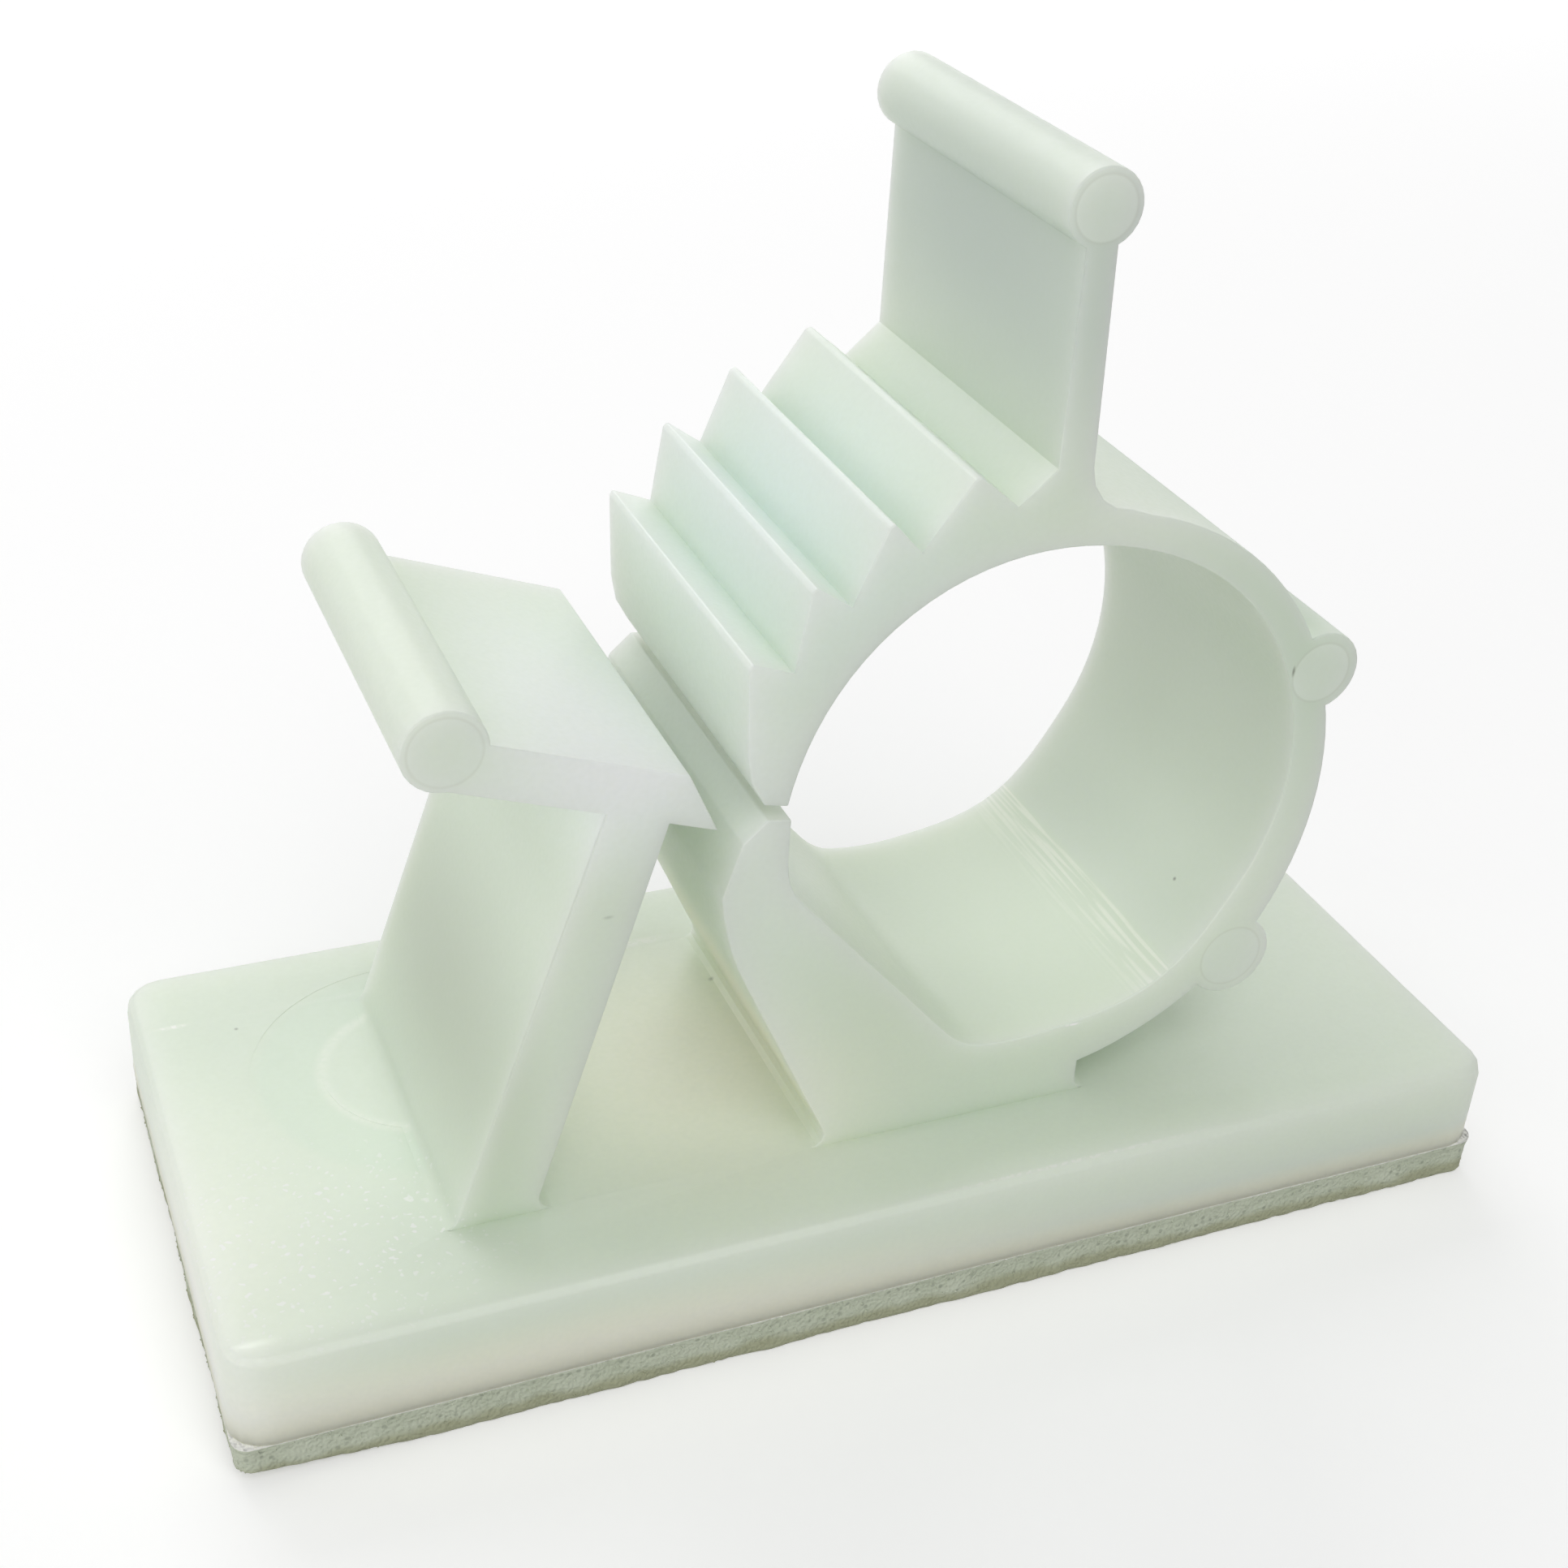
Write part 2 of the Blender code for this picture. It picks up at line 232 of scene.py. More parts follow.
def press_teeth_flat(mesh):
    """Move the tooth corners of the copy in, just under the root circle."""
    pressed = 0
    pressed_radius = root_radius - press_depth
    for vertex in mesh.vertices:
        arm = vertex.co - bore_centre
        radius = math.hypot(arm.x, arm.z)
        angle = math.degrees(math.atan2(arm.z, arm.x))
        on_the_arm = pressed_radius < radius < root_radius + 1.1 * tooth_height
        if on_the_arm and toothed_arm[0] < angle < toothed_arm[1]:
            vertex.co.x = bore_centre.x + arm.x * pressed_radius / radius
            vertex.co.z = bore_centre.z + arm.z * pressed_radius / radius
            pressed += 1
    return pressed


print("tooth corners pressed:", press_teeth_flat(moulding.data))

# %% A group that turns a radius and an angle into a place
def polar_group():
    """A point in the side plane of the bore, from its radius, angle and depth."""
    tree, start, end = new_group(
        "round_the_bore",
        "GeometryNodeTree",
        {"Radius": (NUMBER, 0.007), "Angle": (NUMBER, 0.0), "Depth": (NUMBER, 0.0)},
        {"Place": VECTOR},
    )
    radius = start.outputs["Radius"]
    angle = start.outputs["Angle"]
    place = put(tree, "ShaderNodeCombineXYZ")
    feed(tree, place.inputs["X"], calc(tree, "MULTIPLY", radius, calc(tree, "COSINE", angle)))
    feed(tree, place.inputs["Z"], calc(tree, "MULTIPLY", radius, calc(tree, "SINE", angle)))
    feed(tree, place.inputs["Y"], start.outputs["Depth"])
    feed(tree, end.inputs["Place"], place.outputs[0])
    return tree


round_the_bore = polar_group()
print(round_the_bore.name, "has", len(round_the_bore.nodes), "nodes")

# %% A group that draws one tooth
def tooth_group():
    """A saw tooth round the bore: four corners, filled and given the strap's width."""
    inputs = {
        "Root Radius": (NUMBER, root_radius),
        "Height": (NUMBER, tooth_height),
        "Front Reach": (NUMBER, front_reach),
        "Tip Flat": (NUMBER, tip_flat),
        "Flank Reach": (NUMBER, flank_reach),
        "Front Sink": (NUMBER, 0.35),
        "Back Sink": (NUMBER, 0.35),
        "Width": (NUMBER, 2 * strap_half_width),
    }
    tree, start, end = new_group("saw_tooth", "GeometryNodeTree", inputs, {"Tooth": GEOMETRY})
    value = start.outputs
    depth = calc(tree, "MULTIPLY", value["Width"], -0.5)
    tip_radius = calc(tree, "ADD", value["Root Radius"], value["Height"])

    def place(radius, angle):
        spot = use_group(tree, round_the_bore, Radius=radius, Angle=angle, Depth=depth)
        return spot.outputs[0]

    tip_front = place(tip_radius, 0.0)
    tip_back = place(tip_radius, value["Tip Flat"])
    root_front = place(value["Root Radius"], calc(tree, "MULTIPLY", value["Front Reach"], -1.0))
    root_back = place(value["Root Radius"], value["Flank Reach"])

    def carry_on(tip, root, sink):
        """Go on past the root, so that the tooth is sunk into the arm."""
        beyond = vector_calc(tree, "SUBTRACT", root, tip)
        step = put(tree, "ShaderNodeVectorMath", operation="SCALE")
        feed(tree, step.inputs[0], beyond)
        feed(tree, step.inputs["Scale"], sink)
        return vector_calc(tree, "ADD", root, step.outputs[0])

    deep_back = carry_on(tip_back, root_back, value["Back Sink"])
    deep_front = carry_on(tip_front, root_front, value["Front Sink"])
    corners = [deep_back, tip_back, tip_front, deep_front]
    pick = put(tree, "GeometryNodeIndexSwitch", data_type="VECTOR")
    for _ in range(2):
        pick.index_switch_items.new()
    feed(tree, pick.inputs["Index"], put(tree, "GeometryNodeInputIndex").outputs[0])
    for number, corner in enumerate(corners):
        feed(tree, pick.inputs[str(number)], corner)
    ring = put(tree, "GeometryNodeMeshCircle", fill_type="NGON")
    ring.inputs["Vertices"].default_value = 4
    outline = put(tree, "GeometryNodeSetPosition")
    feed(tree, outline.inputs["Geometry"], ring.outputs[0])
    feed(tree, outline.inputs["Position"], pick.outputs[0])
    side = put(tree, "GeometryNodeExtrudeMesh", mode="FACES")
    feed(tree, side.inputs["Mesh"], outline.outputs[0])
    feed(tree, side.inputs["Offset"], (0.0, 1.0, 0.0))
    feed(tree, side.inputs["Offset Scale"], value["Width"])
    front = put(tree, "GeometryNodeFlipFaces")
    feed(tree, front.inputs[0], outline.outputs[0])
    both = put(tree, "GeometryNodeJoinGeometry")
    feed(tree, both.inputs[0], side.outputs["Mesh"])
    feed(tree, both.inputs[0], front.outputs[0])
    closed = put(tree, "GeometryNodeMergeByDistance")
    feed(tree, closed.inputs["Geometry"], both.outputs[0])
    feed(tree, closed.inputs["Distance"], weld_distance)
    feed(tree, end.inputs["Tooth"], closed.outputs[0])
    return tree


saw_tooth = tooth_group()
print(saw_tooth.name, "has", len(saw_tooth.nodes), "nodes")

# %% The tree that sets the teeth round the arm
seam_distance = 0.000004


def teeth_tree():
    """Teeth at even angles round the bore, made one with the moulding."""
    inputs = {
        "Geometry": (GEOMETRY, None),
        "Count": ("NodeSocketInt", tooth_count),
        "Pitch": (NUMBER, tooth_pitch),
        "First Angle": (NUMBER, first_tooth_angle),
        "Ring Centre": (VECTOR, tuple(bore_centre)),
        "Height": (NUMBER, tooth_height),
        "First Front Reach": (NUMBER, first_front_reach),
        "Last Flank Reach": (NUMBER, last_flank_reach),
        "Finish": (MATERIAL, None),
    }
    tree, start, end = new_group(
        "ratchet_teeth", "GeometryNodeTree", inputs, {"Geometry": GEOMETRY}
    )
    value = start.outputs
    index = put(tree, "GeometryNodeInputIndex").outputs[0]
    points = put(tree, "GeometryNodePoints")
    feed(tree, points.inputs["Count"], value["Count"])
    feed(tree, points.inputs["Position"], value["Ring Centre"])
    angle = calc(tree, "MULTIPLY_ADD", index, value["Pitch"], value["First Angle"])
    turn = put(tree, "ShaderNodeCombineXYZ")
    feed(tree, turn.inputs["Y"], calc(tree, "MULTIPLY", angle, -1.0))
    rotation = put(tree, "FunctionNodeEulerToRotation")
    feed(tree, rotation.inputs[0], turn.outputs[0])

    last_index = calc(tree, "SUBTRACT", value["Count"], 1.0)
    is_first = calc(tree, "LESS_THAN", index, 0.5)
    is_last = calc(tree, "GREATER_THAN", index, calc(tree, "SUBTRACT", last_index, 0.5))
    is_middle = calc(tree, "SUBTRACT", 1.0, calc(tree, "ADD", is_first, is_last))
    height = value["Height"]
    first_kind = {"Front_Reach": value["First Front Reach"]}
    last_kind = {"Flank_Reach": value["Last Flank Reach"], "Back_Sink": 0.0}
    kinds = [
        (is_first, use_group(tree, saw_tooth, Height=height, **first_kind)),
        (is_middle, use_group(tree, saw_tooth, Height=height)),
        (is_last, use_group(tree, saw_tooth, Height=height, **last_kind)),
    ]
    teeth = put(tree, "GeometryNodeJoinGeometry")
    for chosen, tooth in kinds:
        copies = put(tree, "GeometryNodeInstanceOnPoints")
        feed(tree, copies.inputs["Points"], points.outputs[0])
        feed(tree, copies.inputs["Selection"], chosen)
        feed(tree, copies.inputs["Instance"], tooth.outputs[0])
        feed(tree, copies.inputs["Rotation"], rotation.outputs[0])
        feed(tree, teeth.inputs[0], copies.outputs[0])
    solid_teeth = put(tree, "GeometryNodeRealizeInstances")
    feed(tree, solid_teeth.inputs[0], teeth.outputs[0])
    union = put(tree, "GeometryNodeMeshBoolean", operation="UNION", solver="EXACT")
    union.inputs["Self Intersection"].default_value = True
    feed(tree, union.inputs["Mesh 2"], value["Geometry"])
    feed(tree, union.inputs["Mesh 2"], solid_teeth.outputs[0])
    tidy = put(tree, "GeometryNodeMergeByDistance")
    feed(tree, tidy.inputs["Geometry"], union.outputs[0])
    feed(tree, tidy.inputs["Distance"], seam_distance)
    whole = put(tree, "GeometryNodeRealizeInstances")
    feed(tree, whole.inputs[0], tidy.outputs[0])
    finish = put(tree, "GeometryNodeSetMaterial")
    feed(tree, finish.inputs["Geometry"], whole.outputs[0])
    feed(tree, finish.inputs["Material"], value["Finish"])
    feed(tree, end.inputs["Geometry"], finish.outputs[0])
    return tree


ratchet_teeth = teeth_tree()
print(ratchet_teeth.name, "has", len(ratchet_teeth.nodes), "nodes")

# %% Run a tree on an object and keep the plain mesh
def socket_id(tree, label):
    """The identifier of a named input, which is how a modifier stores its value."""
    for item in tree.interface.items_tree:
        if item.item_type == "SOCKET" and item.in_out == "INPUT" and item.name == label:
            return item.identifier
    raise KeyError(label)


def run_tree(target, tree, values):
    """Apply a Geometry Nodes tree to an object and leave a plain mesh there."""
    modifier = target.modifiers.new(tree.name, "NODES")
    modifier.node_group = tree
    for label, value in values.items():
        modifier[socket_id(tree, label)] = value
    keep_result(target)


def keep_result(target):
    """Replace an object's mesh by what its modifiers make of it, and drop them."""
    depsgraph = bpy.context.evaluated_depsgraph_get()
    evaluated = target.evaluated_get(depsgraph)
    before = target.data
    result = bpy.data.meshes.new_from_object(evaluated, depsgraph=depsgraph)
    target.modifiers.clear()
    target.data = result
    result.name = target.name
    bpy.data.meshes.remove(before)


nylon = bpy.data.materials.new("natural_nylon")
foam = bpy.data.materials.new("cut_grey_foam")
run_tree(moulding, ratchet_teeth, {"Finish": nylon})
print("moulding with teeth:", len(moulding.data.polygons), "faces")

# %% [markdown]
# ### Rounded edges
#
# A Bevel of a few hundredths of a millimetre turns each outer edge into a thin band that
# picks up light, as it does on the real part. Each edge gets a weight: the top rim of the
# plate is the roundest, other outer corners a third of that, inner corners stay crisp, and
# so does the rim that sits on the foam. The small angles between the facets of the bore and
# the beads stay smooth. Hardened normals keep the flat walls flat, and a Weld closes the
# places where a bevel runs out.

# %% Round the true edges
rim_radius = 0.00012
edge_radius = 0.00004
round_from_angle = math.radians(28)
mark_margin = 0.0001


def is_step_of_the_mark(edge):
    """True for an edge of the shallow mark, which is too low to be rounded."""
    lowest = base_top - 3 * eased_mark_depth
    reach = mark_outer_radius + mark_margin
    at_the_step = all(lowest < vertex.co.z < base_top + same_height for vertex in edge.verts)
    return at_the_step and all((vertex.co - mark_centre).length < reach for vertex in edge.verts)


def weigh_edges(shape):
    """Weights for the outer edges; inner corners and the rim on the foam stay crisp."""
    weight = shape.edges.layers.float.new("bevel_weight_edge")
    rounded = 0
    for edge in shape.edges:
        if len(edge.link_faces) != 2 or edge.calc_face_angle(0.0) < round_from_angle:
            continue
        on_the_foam = all(vertex.co.z < foam_height + same_height for vertex in edge.verts)
        if edge.is_convex and not on_the_foam and not is_step_of_the_mark(edge):
            on_the_rim = all(abs(vertex.co.z - base_top) < same_height for vertex in edge.verts)
            edge[weight] = 1.0 if on_the_rim else edge_radius / rim_radius
            rounded += 1
        else:
            edge.smooth = False
    return rounded


def round_edges(target):
    """Bevel the weighted edges and keep the result as a plain mesh."""
    shape = bmesh.new()
    shape.from_mesh(target.data)
    melt_flat_faces(shape)
    for face in shape.faces:
        face.smooth = True
    print("outer edges:", weigh_edges(shape))
    shape.to_mesh(target.data)
    shape.free()
    bevel = target.modifiers.new("moulded_edges", "BEVEL")
    bevel.width = rim_radius
    bevel.segments = 3
    bevel.limit_method = "WEIGHT"
    bevel.use_clamp_overlap = False
    bevel.miter_outer = "MITER_ARC"
    bevel.harden_normals = True
    weld = target.modifiers.new("closed_bevel_ends", "WELD")
    weld.merge_threshold = weld_distance
    keep_result(target)


round_edges(moulding)
print("moulding, edges rounded:", len(moulding.data.polygons), "faces")

# %% [markdown]
# ## The foam strip
#
# Double-sided foam is cut with a blade, so its edge shows torn cells, small pits and
# crumbs, and it bulges and caves a little along its run. The wall is woven from a loop of
# closely spaced points and pushed about with noise. The crumbs repeat over a surface,
# so Geometry Nodes scatter them. A bump map alone would leave the outline razor straight.
# The strip ends a hundredth of a millimetre under the plate, so that light which comes down
# through the nylon meets the strip's white film and goes back up.

# %% Outline of the strip, point by point
foam_corner_radius = 0.0004
foam_spacing = 0.00008
foam_rows = 12
corner_steps = 6
glue_gap = 0.000012
foam_top = foam_height - glue_gap


def rounded_outline(half_length, half_width, radius, spacing):
    """Points and outward directions along a rectangle with round corners."""
    corners = [(1, 1, 0), (-1, 1, 90), (-1, -1, 180), (1, -1, 270)]
    stations = []
    for index, (sign_x, sign_y, start) in enumerate(corners):
        centre = Vector((sign_x * (half_length - radius), sign_y * (half_width - radius)))
        for step in range(corner_steps + 1):
            turn = math.radians(start + 90 / corner_steps * step)
            outward = Vector((math.cos(turn), math.sin(turn)))
            stations.append((centre + outward * radius, outward))
        next_x, next_y, _ = corners[(index + 1) % 4]
        next_centre = Vector((next_x * (half_length - radius), next_y * (half_width - radius)))
        run = next_centre - centre
        count = int(run.length / spacing)
        for step in range(1, count):
            stations.append((centre + run * step / count + outward * radius, outward))
    return stations


stations = rounded_outline(base_half_length, base_half_width, foam_corner_radius, foam_spacing)
print("foam outline:", len(stations), "points")

# %% How far the blade and the torn cells push each point
cut_inset = 0.00005
wave_depth = 0.00004
waves_per_metre = 420
tear_depth = 0.00003
tears_per_metre = 2600
tear_shift = Vector((7, 3, 1))
pit_depth = 0.00007
pits_per_metre = 5200
pit_size = 0.45


def cut_depth(place):
    """How far inside the straight edge the foam stands, from slow and fine noise."""
    slow = noise.noise(place * waves_per_metre) * wave_depth
    torn = noise.noise(place * tears_per_metre + tear_shift) * tear_depth
    cell = noise.voronoi(place * pits_per_metre)[0][0]
    pit = max(0.0, pit_size - cell) * pit_depth
    return cut_inset + slow + torn + pit


corner_lift_height = 0.00026
corner_lift_reach = 0.0045


def corner_lift(x, y):
    """The front left corner of the adhesive has been pressed up off the floor."""
    away = math.hypot(x + base_half_length, (y + base_half_width) * 1.6)
    return corner_lift_height * max(0.0, 1.0 - away / corner_lift_reach) ** 1.5


worn_edge_height = 0.00012
worn_edge_depth = 0.00005


def foam_point(station, row):
    """One point of the foam's wall, row 0 at the floor."""
    edge, outward = station
    height = foam_top * row / foam_rows
    place = Vector((edge.x, edge.y, height))
    near_top = max(0.0, height / foam_top * 4 - 3)
    depth = cut_depth(place) * (1.0 - 0.8 * near_top)
    lower_edge = max(0.0, 1.0 - height / worn_edge_height)
    depth += worn_edge_depth * lower_edge ** 2
    flat = edge - outward * depth
    lift = corner_lift(edge.x, edge.y)
    return Vector((flat.x, flat.y, lift + height * (foam_top - lift) / foam_top))


print("lift at the front left corner:", corner_lift(-base_half_length, -base_half_width))

# %% Weave the strip
underside_insets = (0.0003, 0.0008, 0.0016, 0.003)
lift_fades_by = 0.0035


def weave_strip(name):
    """Rings of points up the wall and in under the strip, joined by faces and closed."""
    shape = bmesh.new()
    rows = []
    for row in range(foam_rows + 1):
        rows.append([shape.verts.new(foam_point(station, row)) for station in stations])
    for inset in underside_insets:
        share = 1.0 - inset / lift_fades_by
        ring = []
        for edge, _ in stations:
            x = edge.x * (base_half_length - inset) / base_half_length
            y = edge.y * (base_half_width - inset) / base_half_width
            lift = corner_lift(x, y) * share
            ring.append(shape.verts.new((x, y, lift)))
        rows.insert(0, ring)
    count = len(stations)
    for lower, upper in zip(rows, rows[1:]):
        for index in range(count):
            after = (index + 1) % count
            shape.faces.new((lower[index], lower[after], upper[after], upper[index]))
    shape.faces.new(list(reversed(rows[0])))
    shape.faces.new(rows[-1])
    for face in shape.faces:
        face.smooth = True
    mesh = bpy.data.meshes.new(name)
    shape.to_mesh(mesh)
    shape.free()
    strip = bpy.data.objects.new(name, mesh)
    bpy.context.scene.collection.objects.link(strip)
    return strip


foam_strip = weave_strip("foam_strip")
print("foam strip:", len(foam_strip.data.polygons), "faces")

# %% Crumbs along the cut edge
def crumb_tree():
    """Scatter small torn crumbs over the upright wall of the strip."""
    inputs = {
        "Geometry": (GEOMETRY, None),
        "Density": (NUMBER, 16000000.0),
        "Crumb Size": (NUMBER, 0.00003),
        "Floor Clearance": (NUMBER, 0.00006),
        "Seed": ("NodeSocketInt", 11),
        "Finish": (MATERIAL, None),
    }
    tree, start, end = new_group(
        "foam_crumbs", "GeometryNodeTree", inputs, {"Geometry": GEOMETRY}
    )
    value = start.outputs
    normal = split(tree, put(tree, "GeometryNodeInputNormal").outputs[0])
    place = split(tree, put(tree, "GeometryNodeInputPosition").outputs[0])
    upright = calc(tree, "LESS_THAN", calc(tree, "ABSOLUTE", normal["Z"]), 0.6)
    off_the_floor = calc(tree, "GREATER_THAN", place["Z"], value["Floor Clearance"])
    scatter = put(tree, "GeometryNodeDistributePointsOnFaces", distribute_method="RANDOM")
    feed(tree, scatter.inputs["Mesh"], value["Geometry"])
    feed(tree, scatter.inputs["Selection"], upright)
    feed(tree, scatter.inputs["Density"], value["Density"])
    feed(tree, scatter.inputs["Seed"], value["Seed"])
    crumb = put(tree, "GeometryNodeMeshIcoSphere")
    crumb.inputs["Subdivisions"].default_value = 1
    feed(tree, crumb.inputs["Radius"], value["Crumb Size"])
    spin = put(tree, "FunctionNodeRandomValue", data_type="FLOAT_VECTOR")
    feed(tree, spin.inputs["Min"], (0.0, 0.0, 0.0))
    feed(tree, spin.inputs["Max"], (6.28, 6.28, 6.28))
    size = put(tree, "FunctionNodeRandomValue", data_type="FLOAT_VECTOR")
    feed(tree, size.inputs["Min"], (0.5, 0.4, 0.4))
    feed(tree, size.inputs["Max"], (1.5, 1.1, 1.0))
    copies = put(tree, "GeometryNodeInstanceOnPoints")
    feed(tree, copies.inputs["Points"], scatter.outputs["Points"])
    feed(tree, copies.inputs["Selection"], off_the_floor)
    feed(tree, copies.inputs["Instance"], crumb.outputs["Mesh"])
    feed(tree, copies.inputs["Rotation"], spin.outputs["Value"])
    feed(tree, copies.inputs["Scale"], size.outputs["Value"])
    both = put(tree, "GeometryNodeJoinGeometry")
    feed(tree, both.inputs[0], value["Geometry"])
    feed(tree, both.inputs[0], copies.outputs[0])
    whole = put(tree, "GeometryNodeRealizeInstances")
    feed(tree, whole.inputs[0], both.outputs[0])
    smooth = put(tree, "GeometryNodeSetShadeSmooth")
    feed(tree, smooth.inputs["Geometry"], whole.outputs[0])
    finish = put(tree, "GeometryNodeSetMaterial")
    feed(tree, finish.inputs["Geometry"], smooth.outputs[0])
    feed(tree, finish.inputs["Material"], value["Finish"])
    feed(tree, end.inputs["Geometry"], finish.outputs[0])
    return tree


run_tree(foam_strip, crumb_tree(), {"Finish": foam})
print("foam strip with crumbs:", len(foam_strip.data.polygons), "faces")

# %% [markdown]
# ## Effects that the finishes share
#
# Each effect is a shader node group with named inputs, built once. A group gives back only
# a mask or a height. What shines or scatters is decided in the material itself.

# %% Group: soft clouds and fine grain
def cloud_and_grain_group():
    """Two plain noises, one as wide as clouds in the milk and one as fine as grain."""
    inputs = {
        "Vector": (VECTOR, (0.0, 0.0, 0.0)),
        "Cloud Size": (NUMBER, 0.004),
        "Grain Size": (NUMBER, 0.0001),
    }
    tree, start, end = new_group(
        "cloud_and_grain", "ShaderNodeTree", inputs, {"Cloud": NUMBER, "Grain": NUMBER}
    )
    for label in ("Cloud", "Grain"):
        texture = put(tree, "ShaderNodeTexNoise")
        per_metre = calc(tree, "DIVIDE", 1.0, start.outputs[label + " Size"])
        feed(tree, texture.inputs["Vector"], start.outputs["Vector"])
        feed(tree, texture.inputs["Scale"], per_metre)
        feed(tree, texture.inputs["Detail"], 0.0)
        feed(tree, end.inputs[label], texture.outputs[0])
    return tree


cloud_and_grain = cloud_and_grain_group()

# %% Group: sparse specks
def specks_group():
    """Round specks, one at most in each cell, in a share of the cells."""
    inputs = {
        "Vector": (VECTOR, (0.0, 0.0, 0.0)),
        "Spacing": (NUMBER, 0.002),
        "Speck Radius": (NUMBER, 0.00006),
        "Share": (NUMBER, 0.2),
    }
    tree, start, end = new_group("sparse_specks", "ShaderNodeTree", inputs, {"Mask": NUMBER})
    value = start.outputs
    cells = put(tree, "ShaderNodeTexVoronoi", feature="F1")
    feed(tree, cells.inputs["Vector"], value["Vector"])
    feed(tree, cells.inputs["Scale"], calc(tree, "DIVIDE", 1.0, value["Spacing"]))
    distance = calc(tree, "MULTIPLY", cells.outputs["Distance"], value["Spacing"])
    spot = put(tree, "ShaderNodeMapRange", interpolation_type="SMOOTHSTEP")
    feed(tree, spot.inputs["Value"], calc(tree, "DIVIDE", distance, value["Speck Radius"]))
    feed(tree, spot.inputs["From Min"], 1.0)
    feed(tree, spot.inputs["From Max"], 0.4)
    chance = split(tree, cells.outputs["Color"])
    chosen = calc(tree, "LESS_THAN", chance["X"], value["Share"])
    feed(tree, end.inputs["Mask"], calc(tree, "MULTIPLY", spot.outputs["Result"], chosen))
    return tree


sparse_specks = specks_group()

# %% Group: a soft ball of influence
def soft_zone_group():
    """A smooth falloff round a centre, stretched by its three radii."""
    inputs = {
        "Vector": (VECTOR, (0.0, 0.0, 0.0)),
        "Centre": (VECTOR, (0.0, 0.0, 0.0)),
        "Radii": (VECTOR, (0.005, 0.005, 0.005)),
        "Core": (NUMBER, 0.0),
    }
    tree, start, end = new_group("soft_zone", "ShaderNodeTree", inputs, {"Mask": NUMBER})
    value = start.outputs
    offset = vector_calc(tree, "SUBTRACT", value["Vector"], value["Centre"])
    scaled = vector_calc(tree, "DIVIDE", offset, value["Radii"])
    fall = put(tree, "ShaderNodeMapRange", interpolation_type="SMOOTHSTEP")
    feed(tree, fall.inputs["Value"], vector_calc(tree, "LENGTH", scaled))
    feed(tree, fall.inputs["From Min"], 1.0)
    feed(tree, fall.inputs["From Max"], value["Core"])
    feed(tree, end.inputs["Mask"], fall.outputs["Result"])
    return tree


soft_zone = soft_zone_group()
print("shared groups:", [group.name for group in bpy.data.node_groups])

# %% [markdown]
# ## Natural nylon
#
# Unpigmented nylon is milky: light goes in, scatters, and comes out a millimetre or two
# away, which fills shadows and makes thin walls glow. Subsurface scattering does this for
# three quarters of the light. The last quarter stays plain diffuse, because scattered light
# gets lost where the plate sits on the foam, and its lower edge would go dark. The surface
# is satin, and a fine grain from the mould's steel varies its roughness. Light that leaves
# the nylon asks the material again at its way out, so the tree is kept short: every place
# and mark is one small group with a centre and three radii.

# %% Start a material, and make and mix masks
def start_material(material):
    """Clear a material and return its tree, its shader and the Object coordinates."""
    material.use_nodes = True
    tree = material.node_tree
    tree.nodes.clear()
    shader = put(tree, "ShaderNodeBsdfPrincipled")
    output = put(tree, "ShaderNodeOutputMaterial")
    tree.links.new(shader.outputs[0], output.inputs["Surface"])
    coordinates = put(tree, "ShaderNodeTexCoord")
    return tree, shader, coordinates.outputs["Object"]


def ramp(tree, value, low, high):
    """0 below low, 1 above high, smooth between; low may be the larger."""
    node = put(tree, "ShaderNodeMapRange", interpolation_type="SMOOTHSTEP")
    feed(tree, node.inputs["Value"], value)
    feed(tree, node.inputs["From Min"], low)
    feed(tree, node.inputs["From Max"], high)
    return node.outputs["Result"]


def both_of(tree, first, second):
    """The share that two masks have in common."""
    return calc(tree, "MULTIPLY", first, second)


def tint(tree, under, mask, colour, strength=1.0):
    """Lay a colour over another where the mask is white."""
    mix = put(tree, "ShaderNodeMix", data_type="RGBA")
    feed(tree, mix.inputs["Factor"], calc(tree, "MULTIPLY", mask, strength))
    feed(tree, mix.inputs["A"], under)
    feed(tree, mix.inputs["B"], colour)
    return mix.outputs["Result"]


def srgb(red, green, blue):
    """A colour as seen on screen, 0 to 255, turned into the linear values of a shader."""
    linear = []
    for value in (red, green, blue):
        share = value / 255
        linear.append(share / 12.92 if share <= 0.04045 else ((share + 0.055) / 1.055) ** 2.4)
    return (*linear, 1.0)


print("white on screen is", srgb(255, 255, 255))

